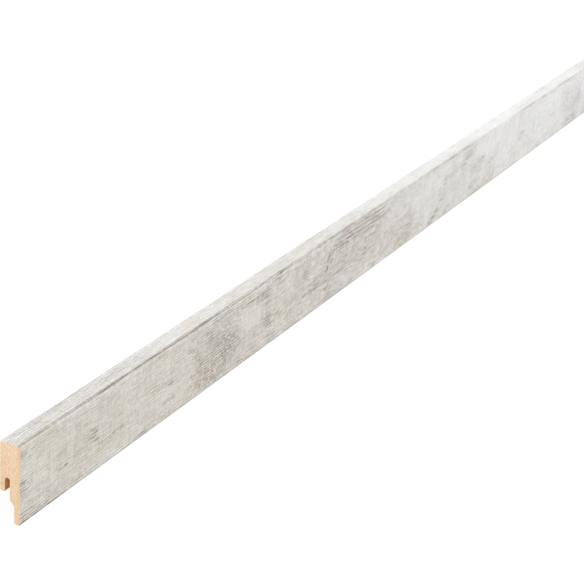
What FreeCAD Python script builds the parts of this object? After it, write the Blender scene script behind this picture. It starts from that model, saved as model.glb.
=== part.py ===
import FreeCAD, Part
import math
import os

# Clip-on skirting board length, as it lies on its back on a level floor.
# X runs along the board, Y up its height and Z from the wall face out to the decor face.
# The origin is at the middle of the wall face's bounding box: mid length, mid height, on the floor.
# Section sizes are given as a depth behind the decor face and a height above the lowest edge.

BOARD_LENGTH = 2400.0
BOARD_HEIGHT = 60.0
BOARD_DEPTH = 16.0

# The decor foil is wrapped over the top, the front and the underside of the foot.
FOIL_THICKNESS = 0.3

# Outside radii of the two front arrises, measured over the foil.
FRONT_TOP_RADIUS = 2.0
FRONT_BOTTOM_RADIUS = 1.2

# The clip slot opens downwards, between the front wall and the rear leg.
FRONT_WALL = 8.1
SLOT_WIDTH = 4.1
SLOT_CROWN_HEIGHT = 34.0

# The end of the rear leg rises towards the wall and is eased at the slot's mouth.
LEG_END_HEIGHT = 22.3
LEG_END_SLOPE_DEG = 21.0
LEG_MOUTH_RADIUS = 1.0

# The foot is thinner than the front wall, and a tapered shoulder joins the two.
FOOT_THICKNESS = 4.6
FOOT_WALL_HEIGHT = 13.6
SHOULDER_RISE = 4.2
SHOULDER_RADIUS = 1.5

# The underside is undercut, so that only the front arris meets the floor covering.
UNDERSIDE_SLOPE_DEG = 16.0

# Corners closer together than this are one point.
SMALLEST_EDGE = 1e-6


def section_point(depth, height):
    """The point of the near end's section at a depth behind the decor face and a height."""
    return FreeCAD.Vector(-BOARD_LENGTH / 2, height - BOARD_HEIGHT / 2, BOARD_DEPTH - depth)


def underside_height(depth, inset):
    """Height of the undercut underside at a depth, or of the line inset from it."""
    slope = math.radians(UNDERSIDE_SLOPE_DEG)
    sharp_corner = FRONT_BOTTOM_RADIUS * (1 - math.tan(slope) - 1 / math.cos(slope))
    return sharp_corner + depth * math.tan(slope) + inset / math.cos(slope)


def wrapped_corners(inset):
    """Corners of the wrapped faces, from the foot's inner edge round to the top's back edge."""
    top = BOARD_HEIGHT - inset
    return [
        (FOOT_THICKNESS, underside_height(FOOT_THICKNESS, inset), 0),
        (inset, underside_height(inset, inset), max(FRONT_BOTTOM_RADIUS - inset, 0)),
        (inset, top, max(FRONT_TOP_RADIUS - inset, 0)),
        (BOARD_DEPTH, top, 0),
    ]


def back_corners():
    """Corners of the milled back, from the wall face's lower edge round to the foot."""
    slot_back = FRONT_WALL + SLOT_WIDTH
    leg_rise = (BOARD_DEPTH - slot_back) * math.tan(math.radians(LEG_END_SLOPE_DEG))
    return [
        (BOARD_DEPTH, LEG_END_HEIGHT + leg_rise, 0),
        (slot_back, LEG_END_HEIGHT, LEG_MOUTH_RADIUS),
        (slot_back, SLOT_CROWN_HEIGHT, SLOT_WIDTH / 2),
        (FRONT_WALL, SLOT_CROWN_HEIGHT, SLOT_WIDTH / 2),
        (FRONT_WALL, FOOT_WALL_HEIGHT + SHOULDER_RISE, SHOULDER_RADIUS),
        (FOOT_THICKNESS, FOOT_WALL_HEIGHT, 0),
    ]


def arris(before, corner, after, reach_before, reach_after, radius):
    """Start, middle and end of the arc that rounds a corner, or the corner itself."""
    to_before = (before - corner).normalize()
    to_after = (after - corner).normalize()
    half_angle = to_before.getAngle(to_after) / 2
    if radius <= 0 or math.pi / 2 - half_angle < SMALLEST_EDGE:
        return [corner]
    setback = min(radius / math.tan(half_angle), reach_before, reach_after)
    bisector = (to_before + to_after).normalize()
    fitted_radius = setback * math.tan(half_angle)
    middle = corner + bisector * (fitted_radius / math.sin(half_angle) - fitted_radius)
    return [corner + to_before * setback, middle, corner + to_after * setback]


def section_wire(corners):
    """A closed wire of straight edges and tangent arcs through corners of depth, height and radius."""
    points = [section_point(depth, height) for depth, height, radius in corners]
    radii = [radius for depth, height, radius in corners]
    count = len(corners)
    rounded = []
    for i in range(count):
        before = (i - 1) % count
        after = (i + 1) % count
        # An edge is shared by its two corners, unless the other one is sharp.
        reach_before = points[i].distanceToPoint(points[before]) / (2 if radii[before] else 1)
        reach_after = points[i].distanceToPoint(points[after]) / (2 if radii[after] else 1)
        rounded.append(arris(points[before], points[i], points[after], reach_before, reach_after, radii[i]))
    edges = []
    for i in range(count):
        if len(rounded[i]) == 3:
            edges.append(Part.Arc(*rounded[i]).toShape())
        start = rounded[i][-1]
        end = rounded[(i + 1) % count][0]
        if start.distanceToPoint(end) > SMALLEST_EDGE:
            edges.append(Part.LineSegment(start, end).toShape())
    return Part.Wire(edges)


def length_of(corners):
    """The section extruded from the near end to the far end, both cut square."""
    return Part.Face(section_wire(corners)).extrude(FreeCAD.Vector(BOARD_LENGTH, 0, 0))


def mdf_core():
    """The milled fibreboard profile, with the clip slot and the recess behind the foot."""
    return length_of(wrapped_corners(FOIL_THICKNESS) + back_corners())


def decor_foil():
    """The foil, one even thickness, trimmed flush with the wall face and the foot's inner wall."""
    outside = wrapped_corners(0)
    inside = wrapped_corners(FOIL_THICKNESS)
    return length_of(outside + inside[::-1])


os.makedirs("parts", exist_ok=True)
for name, shape in {"mdf_core": mdf_core(), "decor_foil": decor_foil()}.items():
    box = shape.BoundBox
    print(name, "valid", shape.isValid(), "volume", round(shape.Volume, 1), "faces", len(shape.Faces))
    print("  from", round(box.XMin, 3), round(box.YMin, 3), round(box.ZMin, 3))
    print("  to", round(box.XMax, 3), round(box.YMax, 3), round(box.ZMax, 3))
    shape.exportStep("parts/" + name + ".step")
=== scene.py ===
# %% [markdown]
# # A length of clip-on skirting board
#
# The real board is a strip of fibreboard, milled to a profile, with a printed foil glued over the
# faces that show in a room. The print copies old limewashed timber. The board lies here on its back,
# print upwards, the way a loose length lies on a floor.
#
# There are only two pieces, so the lesson is about two things: sweeping an exact section along a
# rail, and painting a believable wood print with noise instead of a photograph.

# %% Load the frame
import bpy
import math
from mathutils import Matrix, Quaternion, Vector
from types import SimpleNamespace


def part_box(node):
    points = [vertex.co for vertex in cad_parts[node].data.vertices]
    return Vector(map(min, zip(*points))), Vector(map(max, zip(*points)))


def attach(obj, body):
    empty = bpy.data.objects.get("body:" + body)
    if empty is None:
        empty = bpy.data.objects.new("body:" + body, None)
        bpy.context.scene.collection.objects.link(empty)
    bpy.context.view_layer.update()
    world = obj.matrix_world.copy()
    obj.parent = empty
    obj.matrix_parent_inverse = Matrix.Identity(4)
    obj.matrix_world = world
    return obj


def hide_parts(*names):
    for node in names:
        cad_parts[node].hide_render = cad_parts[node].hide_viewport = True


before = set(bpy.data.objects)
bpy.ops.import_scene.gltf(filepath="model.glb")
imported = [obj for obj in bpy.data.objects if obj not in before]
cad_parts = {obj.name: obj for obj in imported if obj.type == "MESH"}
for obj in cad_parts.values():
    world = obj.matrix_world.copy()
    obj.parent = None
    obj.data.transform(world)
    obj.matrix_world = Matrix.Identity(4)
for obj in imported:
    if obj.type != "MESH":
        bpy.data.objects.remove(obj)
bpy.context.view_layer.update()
foil_low, foil_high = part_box("decor_foil")
LENGTH = foil_high.x - foil_low.x
HEIGHT = foil_high.y - foil_low.y
DEPTH = foil_high.z - foil_low.z
MM = 0.001
print("CAD nodes:", ", ".join(sorted(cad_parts)))
print("board", round(LENGTH, 4), "by", round(HEIGHT, 4), "by", round(DEPTH, 4), "metres")

# %% [markdown]
# ## The section
#
# A moulding is designed as one drawing, its section. Each corner below is a depth behind the decor
# face, a height above the lowest edge, and the radius that the cutter leaves there. One list of
# sharp corners with radii is easier to read and to change than a list of points along every curve.
#
# The board's overall size comes from the frame. What the frame doesn't say is written here once: the
# clip slot, the rear leg, the foot and the slope of the underside.

# %% Sizes of the section
FOIL = 0.3 * MM
TOP_RADIUS = 2.0 * MM
BOTTOM_RADIUS = 1.2 * MM
FRONT_WALL = 8.1 * MM
SLOT_WIDTH = 4.1 * MM
SLOT_CROWN = 34.0 * MM
LEG_END = 22.3 * MM
LEG_SLOPE = math.radians(21)
LEG_RADIUS = 1.0 * MM
FOOT = 4.6 * MM
FOOT_WALL = 13.6 * MM
SHOULDER_RISE = 4.2 * MM
SHOULDER_RADIUS = 1.5 * MM
UNDERCUT = math.radians(16)


def underside(depth, inset):
    """Height of the sloping underside at a depth, or of the line inset from it."""
    sharp = BOTTOM_RADIUS * (1 - math.tan(UNDERCUT) - 1 / math.cos(UNDERCUT))
    return sharp + depth * math.tan(UNDERCUT) + inset / math.cos(UNDERCUT)


def wrapped(inset):
    """Corners of the faces under the foil, from the foot round the front to the top."""
    return [
        (FOOT, underside(FOOT, inset), 0),
        (inset, underside(inset, inset), BOTTOM_RADIUS - inset),
        (inset, HEIGHT - inset, TOP_RADIUS - inset),
        (DEPTH, HEIGHT - inset, 0),
    ]


def milled():
    """Corners of the bare back, from the wall face round the clip slot to the foot."""
    slot_back = FRONT_WALL + SLOT_WIDTH
    leg_rise = (DEPTH - slot_back) * math.tan(LEG_SLOPE)
    return [
        (DEPTH, LEG_END + leg_rise, 0),
        (slot_back, LEG_END, LEG_RADIUS),
        (slot_back, SLOT_CROWN, SLOT_WIDTH / 2),
        (FRONT_WALL, SLOT_CROWN, SLOT_WIDTH / 2),
        (FRONT_WALL, FOOT_WALL + SHOULDER_RISE, SHOULDER_RADIUS),
        (FOOT, FOOT_WALL, 0),
    ]


core_corners = wrapped(FOIL) + milled()
foil_corners = wrapped(0) + wrapped(FOIL)[::-1]
print("core", len(core_corners), "corners, foil", len(foil_corners), "corners")

# %% [markdown]
# ## A sweep in Geometry Nodes
#
# The extruder's way of thinking suits a moulding: draw the section, round its corners, push it along
# a straight rail and close both ends. Geometry Nodes does that in a handful of nodes, and the same
# tree serves the fibreboard and the foil, because only the corners and the finish change.
#
# Curve to Mesh stands the drawing's X and Y across the rail. On a rail along +X they turn to the
# board's -Y and -Z, so a corner is drawn that way round. Each arc is cut into short facets whose
# shading a Weighted Normal modifier then evens out, so that the wide flat faces stay flat.

# %% Draw the corners
def corner_drawing(name, corners):
    """A closed loop of edges, with each corner's radius stored on its point."""
    points = [(HEIGHT / 2 - height, depth - DEPTH, 0) for depth, height, radius in corners]
    count = len(points)
    edges = [(i, (i + 1) % count) for i in range(count)]
    mesh = bpy.data.meshes.new(name)
    mesh.from_pydata(points, edges, [])
    radii = mesh.attributes.new("corner_radius", "FLOAT", "POINT")
    radii.data.foreach_set("value", [radius for depth, height, radius in corners])
    return mesh


# %% Small helpers for building any node tree
def feed(tree, socket, value):
    """Link a socket to another node's output, or set it to a plain value."""
    if isinstance(value, bpy.types.NodeSocket):
        tree.links.new(value, socket)
    else:
        socket.default_value = value


def add(tree, kind, inputs=None, **settings):
    """Add a node with its settings, and feed its inputs by name or by number."""
    node = tree.nodes.new(kind)
    for setting, value in settings.items():
        setattr(node, setting, value)
    for name, value in (inputs or {}).items():
        feed(tree, node.inputs[name], value)
    return node


def calc(tree, operation, *values, clamp=False):
    """One Math node on some values. The result is its output socket."""
    node = add(tree, "ShaderNodeMath", operation=operation, use_clamp=clamp)
    for socket, value in zip(node.inputs, values):
        feed(tree, socket, value)
    return node.outputs[0]


def vector_calc(tree, operation, first, second=(0, 0, 0)):
    """One Vector Math node on one vector or two. The result is its output socket."""
    node = add(tree, "ShaderNodeVectorMath", {0: first, 1: second}, operation=operation)
    return node.outputs["Value" if operation == "LENGTH" else "Vector"]


def parts(tree, vector):
    """The X, Y and Z of a vector, as output sockets by name."""
    return add(tree, "ShaderNodeSeparateXYZ", {0: vector}).outputs


def new_tree(name, kind, inputs, outputs):
    """A node group with named sockets. Returns the tree, its input sockets and its output node."""
    tree = bpy.data.node_groups.new(name, kind)
    for label, (socket_kind, value) in inputs.items():
        socket = tree.interface.new_socket(label, in_out="INPUT", socket_type="NodeSocket" + socket_kind)
        if value is not None:
            socket.default_value = value
    for label, socket_kind in outputs.items():
        tree.interface.new_socket(label, in_out="OUTPUT", socket_type="NodeSocket" + socket_kind)
    given = tree.nodes.new("NodeGroupInput").outputs
    result = tree.nodes.new("NodeGroupOutput").inputs
    return tree, given, result


# %% Round the corners of the outline
ARC_FACETS = 12


def rounded_outline(tree, given):
    """The section as a closed curve, with its corners rounded and its girth stored on its points."""
    outline = add(tree, "GeometryNodeMeshToCurve", {"Mesh": given["Corners"]})
    radius = add(tree, "GeometryNodeInputNamedAttribute", {"Name": "corner_radius"}, data_type="FLOAT")
    rounded = add(tree, "GeometryNodeFilletCurve", {
        "Curve": outline.outputs["Curve"],
        "Count": given["Arc Facets"],
        "Radius": radius.outputs["Attribute"],
        "Limit Radius": True,
    }, mode="POLY")
    girth = add(tree, "GeometryNodeSplineParameter")
    measured = add(tree, "GeometryNodeStoreNamedAttribute", {
        "Geometry": rounded.outputs["Curve"],
        "Name": "girth",
        "Value": calc(tree, "SUBTRACT", girth.outputs["Length"], given["Girth Start"]),
    }, data_type="FLOAT", domain="POINT")
    return measured.outputs["Geometry"]


# %% Push the outline along the board
SAME_POINT = 0.001 * MM


def swept_outline(tree, outline, half_length):
    """The outline swept along X, closed at both ends, with its faces outwards."""
    near = add(tree, "ShaderNodeCombineXYZ", {"X": calc(tree, "MULTIPLY", half_length, -1.0)})
    far = add(tree, "ShaderNodeCombineXYZ", {"X": half_length})
    rail = add(tree, "GeometryNodeCurvePrimitiveLine", {"Start": near.outputs[0], "End": far.outputs[0]})
    swept = add(tree, "GeometryNodeCurveToMesh", {
        "Curve": rail.outputs["Curve"],
        "Profile Curve": outline,
        "Fill Caps": True,
    })
    merged = add(tree, "GeometryNodeMergeByDistance", {
        "Geometry": swept.outputs["Mesh"],
        "Distance": SAME_POINT,
    })
    # The corners run the way that leaves the swept faces pointing in, so they are turned outwards.
    return add(tree, "GeometryNodeFlipFaces", {"Mesh": merged.outputs["Geometry"]}).outputs["Mesh"]


# %% [markdown]
# The finishes need two things from the mesh. The wrap map unrolls the foil flat: metres along the
# board from its near end, and metres round the section. The shading is smooth round the arcs and
# breaks at the square corners.

# %% Unroll the surface and shade it
SHARP_ANGLE = math.radians(35)


def unrolled(tree, mesh, half_length):
    """The mesh with its wrap map."""
    position = add(tree, "GeometryNodeInputPosition").outputs[0]
    girth = add(tree, "GeometryNodeInputNamedAttribute", {"Name": "girth"}, data_type="FLOAT")
    flat_place = add(tree, "ShaderNodeCombineXYZ", {
        "X": calc(tree, "ADD", parts(tree, position)["X"], half_length),
        "Y": girth.outputs["Attribute"],
    })
    mapped = add(tree, "GeometryNodeStoreNamedAttribute", {
        "Geometry": mesh,
        "Name": "wrap",
        "Value": flat_place.outputs[0],
    }, data_type="FLOAT2", domain="CORNER")
    return mapped.outputs["Geometry"]


def shaded(tree, mesh, sharp_angle):
    """The mesh shaded smooth, apart from the edges that bend by more than an angle."""
    smooth = add(tree, "GeometryNodeSetShadeSmooth", {"Geometry": mesh, "Shade Smooth": True})
    bend = add(tree, "GeometryNodeInputMeshEdgeAngle")
    sharp = add(tree, "GeometryNodeSetShadeSmooth", {
        "Geometry": smooth.outputs["Geometry"],
        "Selection": calc(tree, "GREATER_THAN", bend.outputs["Unsigned Angle"], sharp_angle),
        "Shade Smooth": False,
    }, domain="EDGE")
    return sharp.outputs["Geometry"]


# %% Put the sweep together
def sweep_tree():
    """Section corners in, a closed moulding with its wrap map and finish out."""
    tree, given, result = new_tree(
        "swept moulding",
        "GeometryNodeTree",
        {
            "Corners": ("Geometry", None),
            "Length": ("Float", 1.0),
            "Arc Facets": ("Int", ARC_FACETS),
            "Girth Start": ("Float", 0.0),
            "Sharp Angle": ("Float", SHARP_ANGLE),
            "Finish": ("Material", None),
        },
        {"Moulding": "Geometry"},
    )
    half_length = calc(tree, "MULTIPLY", given["Length"], 0.5)
    mesh = swept_outline(tree, rounded_outline(tree, given), half_length)
    mesh = shaded(tree, unrolled(tree, mesh, half_length), given["Sharp Angle"])
    real = add(tree, "GeometryNodeRealizeInstances", {"Geometry": mesh})
    finished = add(tree, "GeometryNodeSetMaterial", {
        "Geometry": real.outputs["Geometry"],
        "Material": given["Finish"],
    })
    feed(tree, result["Moulding"], finished.outputs["Geometry"])
    return tree


moulding_tree = sweep_tree()
print("sweep tree:", len(moulding_tree.nodes), "nodes")

# %% [markdown]
# ## Noise, pulled out into grain
#
# Every mark in this print follows the saw or the tree, so it is much longer one way than the other.
# One shader group gives all of them: it divides the place by the size of a cell before it reads the
# noise. A cell of 13 by 1.25 mm is grain, 4.5 by 70 mm is the chatter of a saw, and 38 by 17 mm is
# the cloudiness of thin limewash. The fibreboard uses the same group for its fibres.

# %% The drawn-out noise group
NOISE_GAIN = 4.0


def drawn_noise_group():
    """Noise in cells of a stated size, about -1 to 1."""
    tree, given, result = new_tree(
        "drawn out noise",
        "ShaderNodeTree",
        {
            "Place": ("Vector", (0, 0, 0)),
            "Cell": ("Vector", (1, 1, 1)),
            "Seed": ("Float", 0.0),
            "Detail": ("Float", 2.0),
        },
        {"Signed": "Float"},
    )
    cells = vector_calc(tree, "DIVIDE", given["Place"], given["Cell"])
    cloud = add(tree, "ShaderNodeTexNoise", {
        "Vector": vector_calc(tree, "ADD", cells, given["Seed"]),
        "Scale": 1.0,
        "Detail": given["Detail"],
    })
    centred = calc(tree, "SUBTRACT", cloud.outputs[0], 0.5)
    feed(tree, result["Signed"], calc(tree, "MULTIPLY", centred, NOISE_GAIN))
    return tree


drawn_noise = drawn_noise_group()
print("drawn out noise:", len(drawn_noise.nodes), "nodes")


def noise(tree, place, cell_mm, seed, detail=2.0):
    """Place the noise group, with its cell in millimetres."""
    node = add(tree, "ShaderNodeGroup", {
        "Place": place,
        "Cell": [size * MM for size in cell_mm],
        "Seed": seed,
        "Detail": detail,
    }, node_tree=drawn_noise)
    return node.outputs["Signed"]


def ramp(tree, value, low, high, to_low=0.0, to_high=1.0):
    """A smooth step from to_low to to_high as value goes from low to high."""
    # Smoothstep stops at both ends by itself, so clamping it as well would only cost shader memory.
    node = add(tree, "ShaderNodeMapRange", {
        "Value": value,
        "From Min": low,
        "From Max": high,
        "To Min": to_low,
        "To Max": to_high,
    }, interpolation_type="SMOOTHSTEP", clamp=False)
    return node.outputs["Result"]


# %% [markdown]
# ## Worn patches
#
# Limewash wears off in places: where a cart rubbed, round a knot, along an edge. The print shows each
# as a soft-edged oval, in which the wash is thinner and the grain stands out dark. A group describes
# one such patch and adds it to the sums so far, so a list of patches becomes a chain of groups.
#
# Each patch has three strengths. Wash is how much of the limewash has gone, streaks brings out dark
# grain, and warmth tints wood and wash from grey towards brown. Below 0 they turn round: whole wash,
# quiet grain, a cleaner white. A painter would pick the same few numbers.

# %% The worn patch group
# A patch is at full strength out to the core, and gone at the edge, as shares of its half sizes.
PATCH_CORE = 0.50
PATCH_EDGE = 1.10


def worn_patch_group():
    """One oval patch, added to the sums of wash, streaks and warmth so far."""
    tree, given, result = new_tree(
        "worn patch",
        "ShaderNodeTree",
        {
            "Place": ("Vector", (0, 0, 0)),
            "Centre": ("Vector", (0, 0, 0)),
            "Half Size": ("Vector", (1, 1, 1)),
            "Strengths": ("Vector", (0, 0, 0)),
            "Sums So Far": ("Vector", (0, 0, 0)),
        },
        {"Sums": "Vector"},
    )
    away = vector_calc(tree, "SUBTRACT", given["Place"], given["Centre"])
    reach = vector_calc(tree, "LENGTH", vector_calc(tree, "DIVIDE", away, given["Half Size"]))
    mask = ramp(tree, reach, PATCH_CORE, PATCH_EDGE, 1.0, 0.0)
    # The mask goes in as a scale. Fed into a vector it would fill the shader's small memory, over a
    # chain as long as this one, and the foil would turn black.
    scaled = add(tree, "ShaderNodeVectorMath", {0: given["Strengths"], "Scale": mask}, operation="SCALE")
    feed(tree, result["Sums"], vector_calc(tree, "ADD", scaled.outputs[0], given["Sums So Far"]))
    return tree


worn_patch = worn_patch_group()
print("worn patch:", len(worn_patch.nodes), "nodes")


def patches(tree, place, rows):
    """Chain a patch for each row. Returns the sums of wash, streaks and warmth."""
    sums = (0, 0, 0)
    for along, girth, half_along, half_girth, wash, streaks, warmth in rows:
        node = add(tree, "ShaderNodeGroup", {
            "Place": place,
            "Centre": (along * MM, girth * MM, 0),
            "Half Size": (half_along * MM, half_girth * MM, 1),
            "Strengths": (wash, streaks, warmth),
            "Sums So Far": sums,
        }, node_tree=worn_patch)
        sums = node.outputs["Sums"]
    total = parts(tree, sums)
    return SimpleNamespace(wash=total["X"], streaks=total["Y"], warmth=total["Z"])


# %% [markdown]
# ### Where the print is worn
#
# The patches are listed as a painter would note them: how far along the board, how far up its girth,
# how long, how tall, and how strong. The girth runs from the lower front arris, at 0, up the front to
# about 58 mm, over the arris at 60 and across the top edge to 75. All of these are in millimetres.

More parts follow.
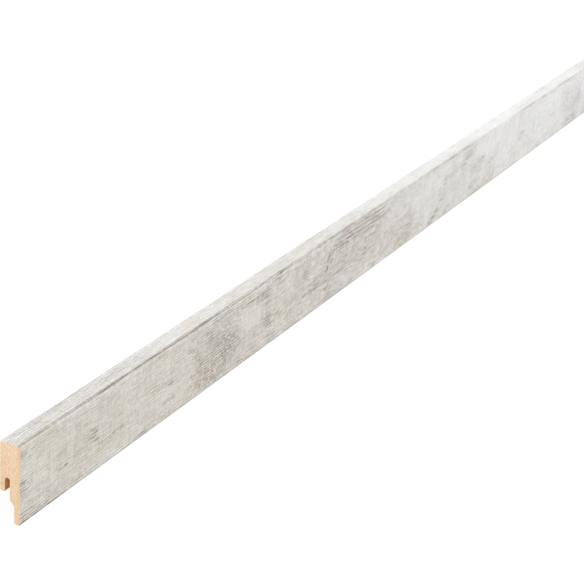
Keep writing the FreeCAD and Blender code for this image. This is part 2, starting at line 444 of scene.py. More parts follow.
# %% The patches of the print
# along, girth, half along, half girth, wash, streaks, warmth
PATCHES = [
    # Very broad changes of tone.
    (430, 30, 230, 60, 0.03, 0.25, -0.06),
    (1130, 30, 680, 120, -0.01, 0, -0.55),
    (1130, 30, 330, 120, -0.02, 0, -0.38),
    (930, 4, 330, 15, 0.05, 0, 0.2),
    # The first 250 mm.
    (2, 27, 8, 8, 0.16, 0.5, -0.1),
    (5, 6, 12, 5, 0.08, 0.4, 0.2),
    (4, 53, 12, 3, 0.09, 0.3, 0.1),
    (25, 2, 40, 4, 0.06, 0.3, 0.2),
    (76, 20, 12, 8, 0.02, 0.1, 0.4),
    (27, 13, 6, 3, 0.06, 0.2, 0),
    (89, 32, 10, 5, 0.07, 0.2, 0.1),
    (89, 25, 9, 3, 0.06, 0.2, 0.1),
    (106, 13, 8, 5, 0.04, 0.2, 0.3),
    (118, 20, 34, 1.8, 0.05, 0.5, 0.2),
    (180, 31, 18, 3, 0.04, 0.3, 0.1),
    (197, 28, 8, 4, 0.05, 0.3, 0),
    (106, 52, 14, 8, 0.04, 0.1, 0.1),
    (22, 10, 18, 5, 0.05, 0.1, 0.1),
    (34, 36, 14, 16, -0.05, 0, 0),
    (141, 12, 8, 10, -0.05, 0, 0),
    (222, 9, 10, 8, -0.05, 0, 0),
    (16, 52, 14, 2.5, 0.05, 0.2, 0),
    (64, 5, 16, 4, 0.04, 0.1, 0.1),
    (197, 14, 12, 3, 0.09, 0.4, 0),
    (184, 56, 12, 1.8, 0.08, 0.3, 0.3),
    (228, 42.5, 13, 2.2, 0.1, 0.2, 0.1),
    # The large stained place, brown low down and greyer towards its far side.
    (268, 22, 36, 30, 0.135, 0.2, 0.2),
    (239, 20, 9, 24, 0.06, 0.1, 0.2),
    (236, 46, 9, 16, 0.06, 0.1, 0.1),
    (248, 6, 14, 6, 0.04, 0.1, 0.3),
    (260, 12, 24, 12, 0.04, 0.1, 0.4),
    (277, 9, 9, 5, 0.06, 0.1, 0.3),
    (283, 28, 22, 13, 0.07, 0.1, -0.2),
    (294, 46, 12, 8, 0.06, 0.1, -0.1),
    (265, 46, 26, 8, 0.08, 0.1, 0),
    (275, 55, 22, 3, 0.08, 0.3, 0),
    (302, 24, 8, 14, 0.1, 0.3, 0),
    (328, 37, 23, 12.5, -0.11, -0.4, -0.2),
    (325, 17, 16, 5, 0.04, 0.1, 0),
    (384, 49, 9, 3, 0.07, 0.2, 0),
    (348, 48, 16, 5, 0.09, 0.1, 0.1),
    (318, 50, 20, 1.6, 0.04, 0.2, 0.1),
    (357, 23, 10, 7, 0.02, 0.1, -0.2),
    (330, 51, 8, 2.4, 0.04, 0.2, 0.1),
    (376, 5, 12, 4, 0.05, 0.2, 0.2),
    (376, 56, 10, 3.5, 0.08, 0.3, 0.2),
    (384, 39.5, 7, 2.0, 0.06, 0.2, 0),
    (358, 40, 9, 2.5, 0.04, 0.2, 0),
    (322, 4.5, 28, 5, 0.06, 0.3, 0.6),
    (426, 41, 8, 6, 0.06, 0.1, 0.1),
    (426, 23, 8, 4, 0.09, 0.1, 0),
    (436, 20.8, 16, 2, 0.1, 0.2, 0.1),
    (457, 21.5, 18, 2, 0.08, 0.2, 0.1),
    (450, 28, 14, 3, 0.06, 0.2, 0.2),
    # A grown-in branch, with the grain bent round it.
    (470, 31, 3.4, 3.2, 0.36, 0.1, 0),
    (472, 40.5, 3.4, 5, 0.3, 0.1, -0.1),
    (472, 35.5, 3.0, 3, 0.18, 0.1, -0.1),
    (480, 45.5, 9, 2.6, 0.2, 0.1, -0.2),
    (500, 53, 18, 8, 0.1, 0.2, -0.1),
    (512, 50, 34, 9, 0.02, 0.2, 0.1),
    (516, 53, 7, 4, -0.07, 0, 0),
    (487, 36.5, 12, 4, 0.15, 0.2, -0.1),
    (483, 48, 9, 4, 0.08, 0.1, -0.1),
    (462, 16, 14, 4, -0.05, 0, 0),
    (506, 36, 8, 4, -0.08, 0, 0),
    (556, 49, 46, 8, 0.01, 0.15, 0.1),
    (592, 8, 14, 8, 0.06, 0.2, 0.2),
    (598, 29, 10, 6, 0.06, 0.1, 0.1),
    (580, 50, 22, 5, 0.05, 0.1, 0),
    (553, 21, 12, 4, 0.05, 0.2, 0.1),
    (576, 55.5, 24, 2, 0.08, 0.2, 0),
    (478, 3.5, 22, 2.5, 0.1, 0.2, 0),
    (540, 33, 64, 22, 0.05, 0.1, 0.1),
    (512, 26, 34, 12, 0.04, 0.2, 0.2),
    (490, 22, 16, 1.6, 0.12, 0.3, 0.2),
    (552, 26, 8, 2.4, 0.18, 0.1, 0.1),
    (549, 21.5, 4, 3, 0.06, 0.1, 0.1),
    (545, 17.5, 4, 2, 0.1, 0.1, 0.1),
    (575, 37, 16, 4, 0.05, 0.3, 0),
    (550, 11, 4, 2, 0.12, 0.2, 0),
    (568, 18, 8, 2.5, 0.1, 0.2, 0),
    (525, 3, 8, 3, 0.14, 0.2, 0),
    (572, 4, 10, 2.5, 0.12, 0.3, 0.3),
    (483, 10, 20, 8, 0.05, 0.4, -0.3),
    # Brown along the lower edge, then scuffs that climb away from it.
    (606, 30, 10, 28, 0.04, 0, 0.2),
    (622, 30, 7, 12, 0.04, 0, 0.2),
    (630, 15, 34, 20, 0.09, 0, 0.3),
    (664, 14, 24, 8, 0.04, 0, 0.2),
    (642, 7, 22, 7, 0.1, 0, 0.3),
    (654, 18, 14, 8, 0.06, 0, 0.2),
    (652, 29, 18, 8, 0.06, 0, 0.1),
    (661, 21, 10, 8, 0.08, 0.2, 0.1),
    (654, 4, 12, 3, 0.1, 0.1, 0.2),
    (646, 54, 10, 4, 0.04, 0.2, 0),
    (618, 54, 16, 5, 0.03, 0.2, 0.1),
    (620, 34.5, 10, 2.2, 0.08, 0.2, 0.1),
    (641, 42, 4, 2, 0.12, 0.2, 0),
    (688, 15, 8, 3.5, 0.06, 0.2, 0.2),
    (713, 4.5, 12, 5, 0.13, 0.1, 0.1),
    (725, 10.5, 11, 7, 0.11, 0.1, 0.1),
    (722, 24, 8, 3, 0.05, 0.1, 0.1),
    (731, 30, 9, 8, 0.04, 0.2, 0),
    (758, 7, 8, 3, 0.07, 0.2, 0),
    (766, 31, 40, 18, 0.04, 0.1, 0.1),
    (800, 24, 90, 24, 0.02, 0, 0),
    (771, 16, 12, 8, -0.04, 0, 0),
    (950, 46, 5, 14, -0.05, 0, 0),
    (910, 50, 12, 16, -0.05, 0, 0),
    (740, 21, 10, 2.5, 0.04, 0.2, 0.2),
    (747, 37, 7, 7, 0.05, 0.2, 0.1),
    (750, 5, 6, 4, 0.1, 0.2, 0.1),
    (764, 40, 26, 2.2, 0.04, 0.2, 0),
    (792, 40, 9, 6, 0.04, 0.2, 0),
    (806, 49.5, 15, 5.5, 0.11, 0.2, -0.2),
    (830, 35, 26, 4, 0.04, 0.2, 0),
    (832, 20, 10, 3, 0.06, 0.2, 0),
    (844, 34, 9, 4, 0.07, 0.2, 0),
    (830, 29, 22, 8, 0.05, 0.3, 0.1),
    (835, 3, 30, 3, 0.05, 0.2, 0.2),
    (823, 13, 12, 6, 0.07, 0.2, 0.2),
    (870, 21, 14, 9, 0.06, 0.2, 0.1),
    (868, 5, 22, 5, 0.06, 0.1, 0.5),
    (718, 45, 34, 14, -0.04, 0, -0.3),
    (860, 48, 45, 10, -0.05, 0, -0.3),
    (964, 30, 10, 8, 0.07, 0.3, 0.1),
    (940, 21, 18, 3, 0.07, 0.2, 0),
    (979, 17, 6, 4, 0.06, 0.2, 0),
    (1030, 3, 14, 3, 0.12, 0.2, 0),
    (1070, 28.5, 12, 3, 0.08, 0.2, 0),
    (1050, 50, 48, 12, -0.05, 0, -0.2),
    (1140, 26, 42, 28, 0.16, -0.3, -0.5),
    (1164, 26, 22, 13, 0.06, 0, -0.3),
    (1066, 53.5, 22, 4, 0.05, 0, 0),
    (1138, 5, 32, 7, 0.17, 0, 0),
    (1192, 15, 18, 16, 0.08, 0.1, 0),
    (1112, 38, 14, 18, 0.05, 0.1, -0.2),
    (1205, 4, 24, 6, 0.15, 0.2, 0.1),
    # The top edge.
    (45, 68, 90, 10, 0.03, 0.1, 0),
    (50, 72.6, 50, 2, 0.03, 0.2, -0.3),
    (150, 69, 42, 4, 0.05, 0.3, -0.3),
    (775, 62, 36, 2.5, 0.05, 0.2, 0),
    (1120, 68, 150, 11, 0.05, 0.1, 0),
    (1000, 65, 42, 4, 0.06, 0.1, 0),
    (1055, 71, 22, 3, 0.06, 0.4, 0),
    (1195, 68, 40, 11, 0.08, 0.2, 0),
    # The rest of the length, in the same hand.
    (1290, 44, 60, 14, 0.05, 0.2, 0),
    (1268, 48, 22, 5, 0.05, 0.3, 0),
    (1335, 10, 56, 12, 0.07, 0.2, 0.5),
    (1322, 22, 18, 5, 0.05, 0.3, 0.2),
    (1415, 34, 24, 4, 0.06, 0.4, 0),
    (1426, 29, 12, 3, 0.05, 0.3, 0.1),
    (1502, 52, 44, 5, 0.05, 0.3, 0),
    (1560, 24, 44, 22, -0.05, 0, -0.2),
    (1655, 26, 40, 30, 0.1, 0.1, 0.2),
    (1668, 12, 20, 10, 0.04, 0.1, 0.4),
    (1690, 44, 26, 7, 0.05, 0.2, -0.1),
    (1748, 9, 26, 5, 0.06, 0.2, 0.4),
    (1830, 46, 60, 6, 0.05, 0.3, 0),
    (1812, 30, 12, 3, 0.06, 0.3, 0),
    (1905, 22, 10, 5, 0.07, 0.3, 0.1),
    (1990, 38, 60, 20, -0.05, 0, -0.2),
    (2075, 14, 46, 10, 0.06, 0.2, 0.5),
    (2098, 24, 16, 3, 0.05, 0.3, 0.1),
    (2175, 50, 36, 6, 0.05, 0.3, 0),
    (2262, 24, 44, 28, 0.08, 0.1, 0.1),
    (2284, 34, 20, 8, 0.04, 0.2, -0.2),
    (2350, 8, 34, 5, 0.06, 0.2, 0.4),
]

# %% The sharper marks
# along, girth, half along, half girth, wash, streaks
SHARP_MARKS = [
    # Heavier and lighter places on the painted shade along the upper arris.
    (74, 59.6, 28, 1.4, 0.12, 0),
    (117, 59.3, 26, 1.5, 0.38, 0),
    (162, 59.3, 24, 1.6, 0.26, 0),
    (212, 59.2, 26, 1.5, 0.22, 0),
    (184, 59.5, 12, 1.4, 0.12, 0),
    (248, 59.2, 22, 1.6, 0.34, 0),
    (278, 59.4, 14, 1.4, 0.16, 0),
    (380, 60.0, 16, 1.6, 0.12, 0),
    (551, 59.6, 9, 2.0, -0.08, 0),
    (490, 59.1, 34, 1.4, 0.08, 0),
    (712, 59.0, 14, 1.5, 0.05, 0),
    (756, 59.3, 24, 1.6, 0.17, 0),
    (795, 59.4, 18, 1.5, 0.16, 0),
    (900, 59.2, 120, 2.4, -0.08, 0),
    (982, 59.6, 30, 1.8, 0.2, 0),
    (1035, 59.2, 12, 1.8, 0.15, 0),
    (1060, 57.0, 15, 2.2, 0.16, 0),
    (1140, 55.5, 14, 2, 0.12, 0),
    (1085, 59.3, 10, 1.6, 0.12, 0),
    (1125, 59.3, 28, 1.8, 0.07, 0),
    (1420, 59.4, 50, 1.5, 0.16, 0.3),
    (1700, 59.4, 60, 1.5, 0.24, 0.3),
    (1960, 59.4, 60, 1.5, 0.12, 0.3),
    (2240, 59.4, 50, 1.5, 0.18, 0.3),
    # A painted highlight just under the painted shade of the upper arris.
    (240, 57.2, 370, 1.0, -0.14, 0),
    # Painted shade along the lower arris, which turns away from the light, with heavier places.
    (1200, 0.1, 2000, 1.4, 0.26, 0.1),
    (20, 0.3, 46, 1.5, 0.26, 0.2),
    (157, 2.4, 12, 2.0, 0.22, 0.3),
    (850, 0.6, 40, 2.0, 0.14, 0.2),
    # Bands that the saw left.
    (35, 24, 2.0, 24, 0.06, 0),
    (46, 27, 2.6, 24, 0.07, 0),
    (55, 40, 2.0, 18, 0.05, 0),
    (67, 38, 2.2, 16, 0.05, 0),
    (97, 45, 2.6, 9, 0.085, 0),
    (110, 44, 2.0, 8, 0.060, 0),
    (147, 22, 2.0, 10, 0.040, 0),
    # Open grain drawn out behind the grown-in branch.
    (512, 56.5, 20, 0.9, 0.24, 0),
    (545, 56.0, 22, 0.9, 0.3, 0),
    (580, 55.3, 20, 0.9, 0.38, 0),
    (496, 53.4, 18, 0.9, 0.26, 0),
    (522, 52.7, 20, 0.9, 0.3, 0),
    (548, 52.1, 20, 0.9, 0.24, 0),
    (578, 51.3, 22, 0.9, 0.3, 0),
    (492, 49.5, 14, 1.0, 0.32, 0),
    (520, 49.0, 20, 1.0, 0.38, 0),
    (545, 48.1, 18, 1.0, 0.34, 0),
    (575, 47.5, 24, 1.0, 0.4, 0),
    (498, 45.8, 18, 0.9, 0.28, 0),
    (528, 44.9, 18, 0.9, 0.22, 0),
    (556, 43.9, 18, 0.9, 0.3, 0),
    (498, 42.4, 14, 0.9, 0.24, 0),
    (528, 37.1, 18, 0.8, 0.2, 0),
    (558, 36.0, 18, 0.8, 0.22, 0),
    (600, 48.5, 8, 0.8, 0.3, 0),
    (611, 51.4, 8, 0.8, 0.16, 0),
    # Strokes beside the light place.
    (338, 50.8, 30, 0.7, 0.42, 0.1),
    (351, 48.1, 15, 0.6, 0.5, 0.1),
    (353, 45.4, 14, 0.6, 0.48, 0.1),
    (355, 40.0, 10, 0.6, 0.24, 0.1),
    (358, 28.2, 7, 0.6, 0.36, 0.1),
    (358, 25.8, 10, 0.6, 0.48, 0.1),
    (356, 23.4, 10, 0.6, 0.56, 0.1),
    (353, 21.0, 11, 0.6, 0.62, 0.1),
    (360, 18.6, 9, 0.6, 0.52, 0.1),
    (384, 50.0, 8, 1.2, 0.14, 0.1),
    # Strokes in front of the branch.
    (426, 43.6, 6, 0.6, 0.5, 0.1),
    (426, 40.9, 6, 0.6, 0.46, 0.1),
    (427, 38.3, 6, 0.6, 0.5, 0.1),
    (428, 35.9, 6, 0.6, 0.4, 0.1),
    (448, 20.9, 28, 1.1, 0.24, 0.1),
    (448, 23.6, 20, 0.6, 0.36, 0.1),
    (446, 26.0, 17, 0.6, 0.3, 0.1),
    (440, 28.6, 11, 0.6, 0.34, 0.1),
    (471, 14.0, 6, 1.4, 0.18, 0.1),
    # Scuffs of the far half.
    (709, 3.6, 8, 1.4, 0.3, 0.1),
    (718, 7.4, 7, 2.4, 0.32, 0.1),
    (726, 12.0, 6, 2.6, 0.14, 0.1),
    (728, 16.8, 8, 0.9, 0.22, 0.1),
    (735, 20.3, 8, 0.9, 0.24, 0.1),
    (756, 8.0, 7, 0.9, 0.16, 0.1),
    (750, 3.9, 6, 1.0, 0.16, 0.1),
    (649, 18.6, 5, 2.0, 0.16, 0.1),
    (654, 9.0, 7, 1.2, 0.14, 0.1),
    (601, 11.2, 8, 1.2, 0.14, 0.1),
    (743, 35.0, 6, 1.0, 0.24, 0.1),
    (754, 41.0, 14, 0.8, 0.08, 0.1),
    (744, 46.0, 10, 1.2, 0.12, 0.1),
    (790, 46.3, 22, 1.2, 0.13, 0.1),
    (782, 43.5, 12, 0.8, 0.14, 0.1),
    (752, 38.6, 12, 0.8, 0.1, 0.1),
    (796, 41.7, 7, 1.4, 0.24, 0.1),
    (802, 53.2, 11, 0.9, 0.16, 0.1),
    (808, 50.4, 11, 0.9, 0.22, 0.1),
    (804, 47.2, 13, 0.9, 0.26, 0.1),
    (823, 39.2, 6, 1.2, 0.1, 0.1),
    (849, 35.8, 8, 0.9, 0.24, 0.1),
    (845, 32.4, 9, 0.9, 0.22, 0.1),
    (838, 29.0, 10, 0.9, 0.14, 0.1),
    (874, 27.6, 9, 0.9, 0.22, 0.1),
    (871, 24.8, 9, 0.9, 0.18, 0.1),
    (831, 15.5, 4, 3.4, 0.18, 0.1),
    (818, 11.2, 6, 1.2, 0.22, 0.1),
    (966, 32.6, 8, 0.8, 0.13, 0.1),
    (964, 27.6, 9, 0.8, 0.13, 0.1),
    # Short dashes of open grain.
    (56, 21.6, 3.2, 1.2, 0.5, 0.3),
    (51, 20.6, 6, 0.7, 0.2, 0.1),
    (90, 34.2, 7, 0.7, 0.4, 0.1),
    (93, 31.0, 7, 0.7, 0.46, 0.1),
    (88, 28.2, 8, 0.7, 0.38, 0.1),
    (94, 24.6, 8, 0.7, 0.32, 0.1),
    (160, 33.5, 16, 0.6, 0.12, 0.1),
    (196, 27.8, 10, 0.7, 0.18, 0.1),
    (186, 36.5, 10, 0.6, 0.12, 0.1),
    (212, 37.5, 12, 0.6, 0.14, 0.1),
    (91, 57, 8, 1.2, 0.12, 0.2),
    (8, 18.6, 8, 0.9, 0.14, 0.3),
    (199, 27, 6, 1.2, 0.17, 0.4),
    (172, 6, 8, 1.6, 0.05, 0.4),
    (62, 72.4, 66, 0.6, 0.13, 0),
    (40, 70.4, 42, 0.5, 0.14, 0),
    (110, 66.8, 44, 0.5, 0.12, 0),
]
print(len(PATCHES), "patches and", len(SHARP_MARKS), "sharper marks")

# %% [markdown]
# ## The decor foil
#
# The foil is paper soaked in resin, printed and lacquered. It has a satin sheen, so that it takes
# more light from the room at a flat angle than straight on, and a very faint brushed relief.
#
# The colour is built the way the print was: pale wash over greyer wood. One value, wear and painted
# light, says how far the colour goes towards the wood. Grain, saw marks, clouds, pores and patches
# all add to it, and so do painted shade on both arrises, a painted highlight under the upper arris
# and painted light on the top edge. A mix of two colours does the rest, so all the marks stay in one
# family of tones.

# %% Helpers for the print
# The unrolled foil is flat, so its noise has one cell for the whole depth.
FLAT_CELL = 1000


def print_noise(tree, place, length, height, seed, detail=2.0):
    """Noise over the unrolled foil, in cells of a length and a height in millimetres."""
    return noise(tree, place, (length, height, FLAT_CELL), seed, detail)


def shifted(tree, place, along=0.0, up=0.0):
    """A place, moved along the board and up its girth."""
    shift = add(tree, "ShaderNodeCombineXYZ", {"X": along, "Y": up})
    return vector_calc(tree, "ADD", place, shift.outputs[0])


def plus(tree, total, value, strength):
    """A total so far, and one more value times its strength."""
    return calc(tree, "MULTIPLY_ADD", value, strength, total)


def by_zone(tree, zone, outside, inside):
    """A strength that changes from outside a zone to inside it."""
    return calc(tree, "MULTIPLY_ADD", zone, inside - outside, outside)


# %% [markdown]
# ### The textures of the print
#
# Real grain never runs dead straight, so the place where its lines are read sways a little up and
# down. The marks of the saw stand straight across it, and are read at the plain place.
#
# Noise runs from about -1 to 1. A ramp that starts well above 0 keeps only its highest places, which
# is how pores and single streaks come out of it.

# %% The textures of the print
SWAY = 1.5 * MM
COMB_PITCH = 2.35 * MM
COMB_DRIFT = 1.8


def streaks_of(tree, fibre, comb):
    """Fine streaks, and the dark streaks of open grain that they and the comb make up."""
    fine = ramp(tree, print_noise(tree, fibre, 6, 0.9, seed=11.3), 0.0, 0.7)
    broad = print_noise(tree, fibre, 5, 1.2, seed=83.6)
    lines = ramp(tree, calc(tree, "MULTIPLY_ADD", comb, 0.5, broad), -0.1, 0.9)
    return fine, calc(tree, "MULTIPLY_ADD", lines, 0.7, calc(tree, "MULTIPLY", fine, 0.4))


def print_textures(tree, wrap):
    """The textures that cover the whole print, by name."""
    sway = print_noise(tree, wrap, 90, 40, seed=5.2)
    fibre = shifted(tree, wrap, up=calc(tree, "MULTIPLY", sway, SWAY))
    girth = parts(tree, fibre)["Y"]
    # The comb is the even lines of yearly growth, pushed apart here and there by noise.
    drift = calc(tree, "MULTIPLY", print_noise(tree, fibre, 45, 8, seed=71.2), COMB_DRIFT)
    comb = calc(tree, "SINE", calc(tree, "MULTIPLY_ADD", girth, 2 * math.pi / COMB_PITCH, drift))
    fine_streaks, streaks = streaks_of(tree, fibre, comb)
    return SimpleNamespace(
        grain=print_noise(tree, fibre, 13, 1.25, seed=1.7, detail=0.5),
        broad_grain=print_noise(tree, fibre, 22, 3.2, seed=51.9, detail=1.0),
        dashes=print_noise(tree, fibre, 4, 1.1, seed=27.3, detail=1.0),
        comb=comb,
        fine_streaks=fine_streaks,
        streaks=streaks,
        pores=ramp(tree, print_noise(tree, fibre, 6, 0.9, seed=21.9), 0.6, 1.1),
        # Small marks that don't follow the grain: round specks, upright ones and larger flecks.
        specks=print_noise(tree, wrap, 1.5, 1.0, seed=63.5, detail=0.0),
        cross=print_noise(tree, wrap, 2.4, 5.0, seed=33.1, detail=0.5),
        flecks=print_noise(tree, wrap, 3.4, 1.9, seed=19.4, detail=0.0),
        saw=print_noise(tree, wrap, 4.5, 70, seed=14.6),
        saw_bands=ramp(tree, print_noise(tree, wrap, 2.2, 17, seed=92.8, detail=1.0), 0.3, 0.9),
        blots=print_noise(tree, wrap, 11, 5, seed=37.4, detail=3),
        clouds=print_noise(tree, wrap, 38, 17, seed=43.2, detail=1),
        small_clouds=print_noise(tree, wrap, 10, 4.5, seed=57.7, detail=1),
    )


# %% The zones of the print
# Each zone fades in, or out, between two places along the board or up its girth.
FAR_FADE = (200 * MM, 450 * MM)
TOP_FADE = (60.5 * MM, 62.5 * MM)
# These place the painted shade along the upper arris.
ARRIS_SHADE_FADES_IN = (58.1 * MM, 59.1 * MM)
ARRIS_SHADE_FADES_OUT = (60.3 * MM, 61.5 * MM)
ARRIS_SHADE_DROP = 0.6 * MM
ARRIS_SHADE_DROPS_OVER = 400 * MM


def print_zones(tree, wrap):
    """Masks of the part past the near end, of the top edge and of the painted shade on the upper arris."""
    place = parts(tree, wrap)
    # The painted shade on the upper arris sinks a little over the first stretch of the arris.
    drop = ramp(tree, place["X"], 0, ARRIS_SHADE_DROPS_OVER, 0, ARRIS_SHADE_DROP)
    arris_shade_girth = calc(tree, "ADD", place["Y"], drop)
    arris_shade_below = ramp(tree, arris_shade_girth, *ARRIS_SHADE_FADES_IN)
    arris_shade_above = ramp(tree, arris_shade_girth, *ARRIS_SHADE_FADES_OUT, 1, 0)
    return SimpleNamespace(
        far=ramp(tree, place["X"], *FAR_FADE),
        top=ramp(tree, place["Y"], *TOP_FADE),
        line=calc(tree, "MULTIPLY", arris_shade_below, arris_shade_above),
    )


# %% [markdown]
# ### How much wood comes through
#
# Wear is 0 under whole wash and 1 on bare wood, and the print lies at about a quarter. The fine grain
# is summed first, because the patches can calm it or bring it out. The saw, the clouds and the
# patches come on top of it.

# %% The fine grain
GRAIN_WEAR = 0.11
COMB_WEAR_NEAR = 0.09
COMB_WEAR_FAR = 0.06
COMB_WEAR_TOP = 0.02
FLECK_WEAR = 0.07
DASH_WEAR = 0.085
SPECK_WEAR = 0.085
PORE_WEAR = 0.20


def fine_grain(tree, marks, zones):
    """The sum of all fine marks. Away from the near end the comb is weaker and flecks join in."""
    comb_strength = by_zone(tree, zones.far, COMB_WEAR_NEAR, COMB_WEAR_FAR)
    comb_strength = plus(tree, comb_strength, zones.top, COMB_WEAR_TOP)
    fleck_strength = calc(tree, "MULTIPLY", zones.far, by_zone(tree, zones.top, FLECK_WEAR, 0.0))
    total = calc(tree, "MULTIPLY", marks.grain, GRAIN_WEAR)
    total = plus(tree, total, marks.comb, comb_strength)
    total = plus(tree, total, marks.flecks, fleck_strength)
    total = plus(tree, total, marks.dashes, DASH_WEAR)
    total = plus(tree, total, marks.specks, SPECK_WEAR)
    return plus(tree, total, marks.pores, PORE_WEAR)


# %% The wear of the whole print
BASE_WEAR = 0.27
BROAD_GRAIN_WEAR = 0.02
SAW_WEAR_FRONT = 0.05
SAW_WEAR_TOP = 0.02
CROSS_WEAR_FRONT = 0.062
CROSS_WEAR_TOP = 0.017
SAW_BAND_WEAR = 0.09
CLOUD_WEAR = 0.05
BLOT_WEAR = 0.035
# Painted light: the top edge is painted lighter than the front.
TOP_PAINTED_LIGHT = -0.08
# Painted shade along the upper arris, which dulls the highlight that the rounded arris catches.
ARRIS_PAINTED_SHADE = 0.34
STREAK_WEAR = 0.6
# Clean wash calms the grain, down to a floor, and streaks bring it out.
CLEANEST = -0.8
CALMED_BY_CLEAN = 0.6
GRAIN_STRENGTH = 0.9
BROUGHT_OUT = 0.9
# How unevenly a patch and a sharp mark let the wood through.
PATCH_DASHES = 0.28
PATCH_CROSS = 0.14
PATCH_SPECKS = 0.20
MARK_LEAST = 0.8
MARK_STREAKS = 0.4


def wear_and_painted_light_before_patches(tree, marks, zones, worn):
    """Wear from the textures alone, with the grain calmed where the wash is clean, plus painted light on the
    top edge and painted shade on the upper arris.
    """
    clean = calc(tree, "MAXIMUM", worn.warmth, CLEANEST)
    calmed = calc(tree, "MULTIPLY_ADD", clean, CALMED_BY_CLEAN, 1.0, clamp=True)
    brought_out = plus(tree, GRAIN_STRENGTH, worn.streaks, BROUGHT_OUT)
    grain_strength = calc(tree, "MULTIPLY", calmed, brought_out)
    wear_and_painted_light = plus(tree, BASE_WEAR, fine_grain(tree, marks, zones), grain_strength)
    wear_and_painted_light = plus(tree, wear_and_painted_light, marks.broad_grain, BROAD_GRAIN_WEAR)
    wear_and_painted_light = plus(tree, wear_and_painted_light, marks.saw, by_zone(tree, zones.top, SAW_WEAR_FRONT, SAW_WEAR_TOP))
    wear_and_painted_light = plus(tree, wear_and_painted_light, marks.cross, by_zone(tree, zones.top, CROSS_WEAR_FRONT, CROSS_WEAR_TOP))
    wear_and_painted_light = plus(tree, wear_and_painted_light, marks.saw_bands, SAW_BAND_WEAR)
    wear_and_painted_light = plus(tree, wear_and_painted_light, marks.clouds, CLOUD_WEAR)
    wear_and_painted_light = plus(tree, wear_and_painted_light, marks.blots, BLOT_WEAR)
    # The top edge is painted lighter, as painted light from above.
    wear_and_painted_light = plus(tree, wear_and_painted_light, zones.top, TOP_PAINTED_LIGHT)
    # The upper arris is darkened with painted shade.
    return plus(tree, wear_and_painted_light, zones.line, ARRIS_PAINTED_SHADE)


def print_wear_and_painted_light(tree, marks, zones, worn, sharp):
    """Wear of the whole print, with its patches and sharper marks, among them painted shade on the arrises
    and a painted highlight.
    """
    # Wash wears off unevenly, so the wood in a patch comes through most in its dashes and specks.
    uneven = plus(tree, 1.0, marks.dashes, PATCH_DASHES)
    uneven = plus(tree, uneven, marks.cross, PATCH_CROSS)
    uneven = plus(tree, uneven, marks.specks, PATCH_SPECKS)
    # A sharp mark breaks up into fine streaks.
    broken = plus(tree, MARK_LEAST, marks.fine_streaks, MARK_STREAKS)
    streaks = calc(tree, "MULTIPLY", marks.streaks, STREAK_WEAR)
    wear_and_painted_light = wear_and_painted_light_before_patches(tree, marks, zones, worn)
    wear_and_painted_light = plus(tree, wear_and_painted_light, worn.wash, uneven)
    wear_and_painted_light = plus(tree, wear_and_painted_light, worn.streaks, streaks)
    wear_and_painted_light = plus(tree, wear_and_painted_light, sharp.wash, broken)
    return plus(tree, wear_and_painted_light, sharp.streaks, streaks)


# %% [markdown]
# ### The colours of wash and wood
#
# Both the wash and the wood under it drift between a cooler and a warmer tint, in clouds. A patch's
# warmth moves both, and a patch below zero has a cleaner, whiter wash. The top edge's wash is
# painted whiter as well, as painted light from above.

# %% The colours of the print
COOL_WASH = (0.750, 0.738, 0.680, 1)
WARM_WASH = (0.758, 0.704, 0.618, 1)
# The whiter wash of clean patches, also painted onto the top edge as painted light.
CLEAN_WASH_AND_TOP_LIGHT = (0.750, 0.748, 0.735, 1)
BARE_GREY = (0.165, 0.150, 0.135, 1)
BARE_BROWN = (0.200, 0.130, 0.092, 1)
CLOUD_TINT = 0.36
SMALL_CLOUD_TINT = 0.10
# Painted light: how far the top edge's wash is painted whiter and cooler.
TOP_PAINTED_WHITENESS = 0.55
# Warmth is 0 for the cool tint and 1 for the warm one.
WOOD_WARMTH = 0.25
WOOD_FROM_TINT = 0.5
SAW_BAND_WARMTH = 0.4
# The painted shade on the upper arris is greyer.
ARRIS_SHADE_WARMTH = -0.5
WASH_WARMTH = 0.5
WASH_FROM_PATCH = 0.4


def mix_colour(tree, factor, first, second):
    """Mix two colours. A factor below 0 or above 1 gives the first or the second one whole."""
    node = add(tree, "ShaderNodeMix", {0: factor}, data_type="RGBA", clamp_factor=True)
    feed(tree, node.inputs[6], first)
    feed(tree, node.inputs[7], second)
    return node.outputs[2]


def print_colour(tree, marks, zones, worn, wear_and_painted_light):
    """Wood showing through wash."""
    tint = plus(tree, calc(tree, "MULTIPLY", marks.clouds, CLOUD_TINT), marks.small_clouds, SMALL_CLOUD_TINT)
    # Wood is mostly grey, browner in the saw's bands and greyer under the painted shade on the upper arris.
    warmth = plus(tree, worn.warmth, tint, WOOD_FROM_TINT)
    warmth = plus(tree, warmth, marks.saw_bands, SAW_BAND_WARMTH)
    warmth = plus(tree, warmth, zones.line, ARRIS_SHADE_WARMTH)
    wood = mix_colour(tree, calc(tree, "ADD", warmth, WOOD_WARMTH), BARE_GREY, BARE_BROWN)
    wash_tint = plus(tree, calc(tree, "ADD", tint, WASH_WARMTH), worn.warmth, WASH_FROM_PATCH)
    wash = mix_colour(tree, wash_tint, COOL_WASH, WARM_WASH)
    # Clean patches whiten the wash, and the top edge is painted whiter as painted light.
    clean = plus(tree, calc(tree, "MULTIPLY", zones.top, TOP_PAINTED_WHITENESS), worn.warmth, -1.0)
    wash = mix_colour(tree, clean, wash, CLEAN_WASH_AND_TOP_LIGHT)
    return mix_colour(tree, wear_and_painted_light, wash, wood)


# %% Helpers for both finishes
def new_finish(name):
    """A new material, its node tree and its Principled shader."""
    material = bpy.data.materials.new(name)
    material.use_nodes = True
    return material, material.node_tree, material.node_tree.nodes["Principled BSDF"]


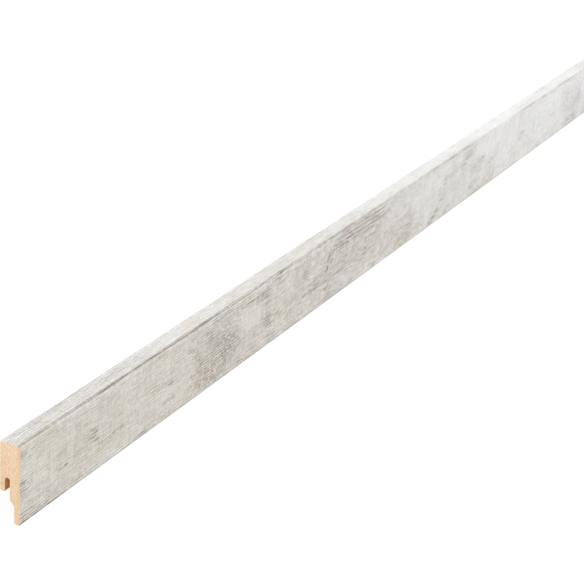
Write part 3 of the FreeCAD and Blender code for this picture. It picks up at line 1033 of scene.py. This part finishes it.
def relief(tree, shader, height, strength, distance):
    """Let a height over the surface tilt its shading a little."""
    bump = add(tree, "ShaderNodeBump", {"Height": height, "Strength": strength, "Distance": distance})
    feed(tree, shader.inputs["Normal"], bump.outputs["Normal"])


# %% The decor material
RAGGED_ALONG = 5 * MM
RAGGED_UP = 1 * MM
RAGGED_SHARP = 0.25 * MM
FOIL_ROUGHNESS = 0.42
ROUGHER_WITH_WEAR = 0.15


def decor_material():
    """Limewashed timber, printed on a satin foil."""
    material, tree, shader = new_finish("limewashed decor")
    wrap = add(tree, "ShaderNodeUVMap", uv_map="wrap").outputs["UV"]
    marks = print_textures(tree, wrap)
    zones = print_zones(tree, wrap)

    # Every patch has a ragged edge, along the grain more than across it. Sharp marks tremble a little.
    ragged = print_noise(tree, wrap, 6, 2.0, seed=3.1, detail=3)
    ragged_up = calc(tree, "MULTIPLY", print_noise(tree, wrap, 25, 7, seed=8.4), RAGGED_UP)
    patch_place = shifted(tree, wrap, calc(tree, "MULTIPLY", ragged, RAGGED_ALONG), ragged_up)
    sharp_place = shifted(tree, wrap, up=calc(tree, "MULTIPLY", ragged, RAGGED_SHARP))
    worn = patches(tree, patch_place, PATCHES)
    sharp = patches(tree, sharp_place, [row + (0,) for row in SHARP_MARKS])

    wear_and_painted_light = print_wear_and_painted_light(tree, marks, zones, worn, sharp)
    feed(tree, shader.inputs["Base Color"], print_colour(tree, marks, zones, worn, wear_and_painted_light))
    feed(tree, shader.inputs["Roughness"], plus(tree, FOIL_ROUGHNESS, wear_and_painted_light, ROUGHER_WITH_WEAR))
    # The grain stands up a little, and the open streaks lie lower.
    height = plus(tree, calc(tree, "MULTIPLY", marks.streaks, -0.5), marks.grain, 0.5)
    relief(tree, shader, height, strength=0.15, distance=0.1 * MM)
    print("decor material:", len(tree.nodes), "nodes")
    return material


decor = decor_material()

# %% [markdown]
# ## Raw fibreboard
#
# Medium density fibreboard is wood ground to fibre and pressed with resin. A fresh saw cut shows a
# warm tan with short fibre bundles, pressed flat, so on the end they lie up the board's height. The
# outermost few millimetres are pressed harder and look more orange. The milled faces behind are a
# little darker, and are painted browner still as painted shade of the deep clip slot.
#
# One material covers both. A mask from the surface's own direction tells a cut end from a milled
# face, and it is read on the object itself, so it doesn't change when the board is turned.

# %% The fibreboard material
CUT_COLOUR = (0.865, 0.675, 0.480, 1)
CUT_DARK = (0.560, 0.330, 0.170, 1)
SKIN_COLOUR = (0.760, 0.500, 0.280, 1)
# The milled colours are partly painted shade: browner and darker than milled fibreboard is, as the deep clip
# slot looks in shade.
MILLED_COLOUR_AND_SLOT_SHADE = (0.860, 0.500, 0.220, 1)
MILLED_DARK_AND_SLOT_SHADE = (0.600, 0.290, 0.105, 1)
# The pressed skin is whole down to the first depth and gone at the second.
SKIN_FADE = (0.8 * MM, 4.0 * MM)
SKIN_STRENGTH = 0.62
# How far each face lies towards its darker colour, and how far its texture moves that.
CUT_DARKNESS = 0.28
CUT_SPECKS = 0.36
CUT_BUNDLES = 0.14
MILLED_DARKNESS_AND_SLOT_SHADE = 0.3
MILLED_FUZZ = 0.15
MILLED_CHATTER = 0.12


def fibreboard_material():
    """Pressed fibre on the cut ends, and on the milled faces a darker brown that is partly painted shade."""
    material, tree, shader = new_finish("raw fibreboard")
    coordinates = add(tree, "ShaderNodeTexCoord")
    place = coordinates.outputs["Object"]
    facing = parts(tree, coordinates.outputs["Normal"])
    cut_end = calc(tree, "GREATER_THAN", calc(tree, "ABSOLUTE", facing["X"]), 0.5)

    bundles = noise(tree, place, (1.5, 7.0, 1.1), seed=2.3)
    specks = noise(tree, place, (0.6, 2.6, 0.7), seed=6.1)
    mottle = plus(tree, plus(tree, CUT_DARKNESS, specks, CUT_SPECKS), bundles, CUT_BUNDLES)
    cut = mix_colour(tree, mottle, CUT_COLOUR, CUT_DARK)
    behind_front = calc(tree, "SUBTRACT", DEPTH, parts(tree, place)["Z"])
    pressed = ramp(tree, behind_front, *SKIN_FADE, SKIN_STRENGTH, 0.0)
    cut = mix_colour(tree, pressed, cut, SKIN_COLOUR)

    chatter = noise(tree, place, (1.4, 60, 60), seed=9.7)
    fuzz = noise(tree, place, (3.0, 0.8, 0.8), seed=12.9, detail=3)
    # The milled faces, a little darker than the cut, are painted browner still as painted shade of the clip
    # slot.
    milled_tone_and_shade = plus(tree, plus(tree, MILLED_DARKNESS_AND_SLOT_SHADE, fuzz, MILLED_FUZZ), chatter, MILLED_CHATTER)
    faces = mix_colour(tree, milled_tone_and_shade, MILLED_COLOUR_AND_SLOT_SHADE, MILLED_DARK_AND_SLOT_SHADE)

    feed(tree, shader.inputs["Base Color"], mix_colour(tree, cut_end, faces, cut))
    shader.inputs["Roughness"].default_value = 0.85
    shader.inputs["Specular IOR Level"].default_value = 0.25
    relief(tree, shader, calc(tree, "ADD", specks, bundles), strength=0.3, distance=0.15 * MM)
    print("fibreboard material:", len(tree.nodes), "nodes")
    return material


fibreboard = fibreboard_material()

# %% [markdown]
# ## Sweeping the two pieces
#
# Both pieces come from the same tree. The modifier's inputs are set by each socket's identifier, and
# the evaluated result is kept as a plain mesh, with the modifiers gone.

# %% Sweep a piece
def girth_before_front(corners):
    """Girth from the drawing's first corner to height 0 on the front face."""
    first, arris = corners[0], corners[1]
    slope_run = math.dist(first[:2], arris[:2])
    turn = math.pi / 2 - UNDERCUT
    tangent = arris[2] * math.tan(turn / 2)
    # The underside up to the arc, then the arc, less the height at which the arc meets the front.
    return slope_run - tangent + arris[2] * turn - (arris[1] + tangent)


def swept_piece(name, corners, finish):
    """Sweep the corners along the board and return the piece as a plain mesh object."""
    piece = bpy.data.objects.new(name, corner_drawing(name, corners))
    bpy.context.scene.collection.objects.link(piece)
    sweep = piece.modifiers.new("sweep", "NODES")
    sweep.node_group = moulding_tree
    values = {
        "Length": LENGTH,
        "Arc Facets": ARC_FACETS,
        "Girth Start": girth_before_front(corners),
        "Sharp Angle": SHARP_ANGLE,
        "Finish": finish,
    }
    for item in moulding_tree.interface.items_tree:
        if item.name in values:
            sweep[item.identifier] = values[item.name]
    even = piece.modifiers.new("even normals", "WEIGHTED_NORMAL")
    even.keep_sharp = True
    evaluated = piece.evaluated_get(bpy.context.evaluated_depsgraph_get())
    mesh = bpy.data.meshes.new_from_object(evaluated)
    piece.modifiers.clear()
    piece.data = mesh
    mesh.name = name
    return piece


core = swept_piece("fibreboard_core", core_corners, fibreboard)
skin = swept_piece("decor_skin", foil_corners, decor)
for piece in (core, skin):
    sides = [round(side / MM, 2) for side in piece.dimensions]
    print(piece.name, len(piece.data.polygons), "faces,", sides, "mm")

# %% Put both on the body and let them stand for the CAD nodes
for piece, node, slot in ((core, "mdf_core", "fibreboard"), (skin, "decor_foil", "decor")):
    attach(piece, "root")
    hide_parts(node)

# %% [markdown]
# ## Floor, light and camera
#
# A catalogue picture of a moulding is lit softly from all round, on white. The floor is plain white
# paint that also glows a little for the camera, so it reads as white and still takes a faint shadow.
# Mirror-like reflections see that white as well, which is where the foil's sheen comes from.

# %% The floor
FLOOR_SIZE = 14.0
FLOOR_PAINT = 0.82
SHOWN_PAINT = 0.12
SHOWN_GLOW = 0.93


def seen_directly(tree):
    """1 for camera, glossy and transmission rays, 0 for light that the floor or sky spreads."""
    path = add(tree, "ShaderNodeLightPath")
    direct = calc(tree, "ADD", path.outputs["Is Camera Ray"], path.outputs["Is Glossy Ray"])
    return calc(tree, "ADD", direct, path.outputs["Is Transmission Ray"], clamp=True)


def pick_shader(tree, spread, seen):
    """One shader for the light that is spread, another for what is seen directly."""
    shaders = {0: seen_directly(tree), 1: spread.outputs[0], 2: seen.outputs[0]}
    return add(tree, "ShaderNodeMixShader", shaders)


def floor_material():
    """White paint that glows a little where it is seen."""
    material = bpy.data.materials.new("studio floor")
    material.use_nodes = True
    tree = material.node_tree
    tree.nodes.clear()
    paint = add(tree, "ShaderNodeBsdfDiffuse", {"Color": (FLOOR_PAINT,) * 3 + (1,)})
    shown = add(tree, "ShaderNodeBsdfDiffuse", {"Color": (SHOWN_PAINT,) * 3 + (1,)})
    glow = add(tree, "ShaderNodeEmission", {"Strength": SHOWN_GLOW})
    bright = add(tree, "ShaderNodeAddShader", {0: shown.outputs[0], 1: glow.outputs[0]})
    chosen = pick_shader(tree, paint, bright)
    add(tree, "ShaderNodeOutputMaterial", {"Surface": chosen.outputs[0]})
    return material


half_floor = FLOOR_SIZE / 2
floor_corners = [(x * half_floor, y * half_floor, 0) for x, y in ((-1, -1), (1, -1), (1, 1), (-1, 1))]
floor_mesh = bpy.data.meshes.new("floor")
floor_mesh.from_pydata(floor_corners, [], [(0, 1, 2, 3)])
floor_mesh.materials.append(floor_material())
floor = bpy.data.objects.new("floor", floor_mesh)
bpy.context.scene.collection.objects.link(floor)
print("floor", FLOOR_SIZE, "metres square")

# %% The room light
ROOM_LIGHT = 0.55


def studio_world():
    """Soft light from all round, on white."""
    world = bpy.data.worlds.new("studio")
    world.use_nodes = True
    tree = world.node_tree
    tree.nodes.clear()
    room = add(tree, "ShaderNodeBackground", {"Color": (1, 1, 1, 1), "Strength": ROOM_LIGHT})
    white = add(tree, "ShaderNodeBackground", {"Color": (1, 1, 1, 1), "Strength": 1.0})
    chosen = pick_shader(tree, room, white)
    add(tree, "ShaderNodeOutputWorld", {"Surface": chosen.outputs[0]})
    return world


bpy.context.scene.world = studio_world()

# %% The lamps
BOARD_MIDDLE = Vector((0, 0, DEPTH / 2))


def softbox(name, place, width, height, power):
    """A wide soft lamp that points at the board."""
    light = bpy.data.lights.new(name, "AREA")
    light.shape = "RECTANGLE"
    light.size = width
    light.size_y = height
    light.energy = power
    lamp = bpy.data.objects.new(name, light)
    lamp.location = place
    lamp.rotation_euler = (BOARD_MIDDLE - Vector(place)).to_track_quat("-Z", "Y").to_euler()
    lamp.visible_camera = False
    bpy.context.scene.collection.objects.link(lamp)


# Sizes and places are in metres, powers in watts.
softbox("key", place=(0.2, 2.6, 2.8), width=3.0, height=2.0, power=84)
softbox("fill", place=(-3.4, 0.1, 0.5), width=2.0, height=0.9, power=26)
softbox("back", place=(3.2, -0.3, 0.9), width=3.0, height=1.4, power=15)
softbox("rim", place=(2.2, 1.8, 0.5), width=2.0, height=0.9, power=42)
print("lamps:", ", ".join(sorted(light.name for light in bpy.data.lights)))

# %% [markdown]
# The camera stands where the picture was taken from, past the near end and well above the board. The
# picture shows the board upright, and here it lies flat, so the camera is rolled by about a right
# angle to give the same outline.

# %% The camera
CAMERA_PLACE = Vector((-2.10128, 0.59658, 0.62950))
AIM = Vector((-0.79795, 0.00411, 0.01600))
CAMERA_ROLL = math.radians(104.213)
FOCAL_LENGTH = 113.355
SENSOR = 36.0

camera_data = bpy.data.cameras.new("camera")
camera_data.lens = FOCAL_LENGTH
camera_data.sensor_width = SENSOR
camera = bpy.data.objects.new("camera", camera_data)
camera.location = CAMERA_PLACE
track = (AIM - CAMERA_PLACE).to_track_quat("-Z", "Y")
camera.rotation_mode = "QUATERNION"
camera.rotation_quaternion = track @ Quaternion((0, 0, 1), CAMERA_ROLL)
bpy.context.scene.collection.objects.link(camera)
bpy.context.scene.camera = camera
bpy.context.scene.view_settings.view_transform = "Standard"
print("camera", round((AIM - CAMERA_PLACE).length, 2), "metres from what it looks at")
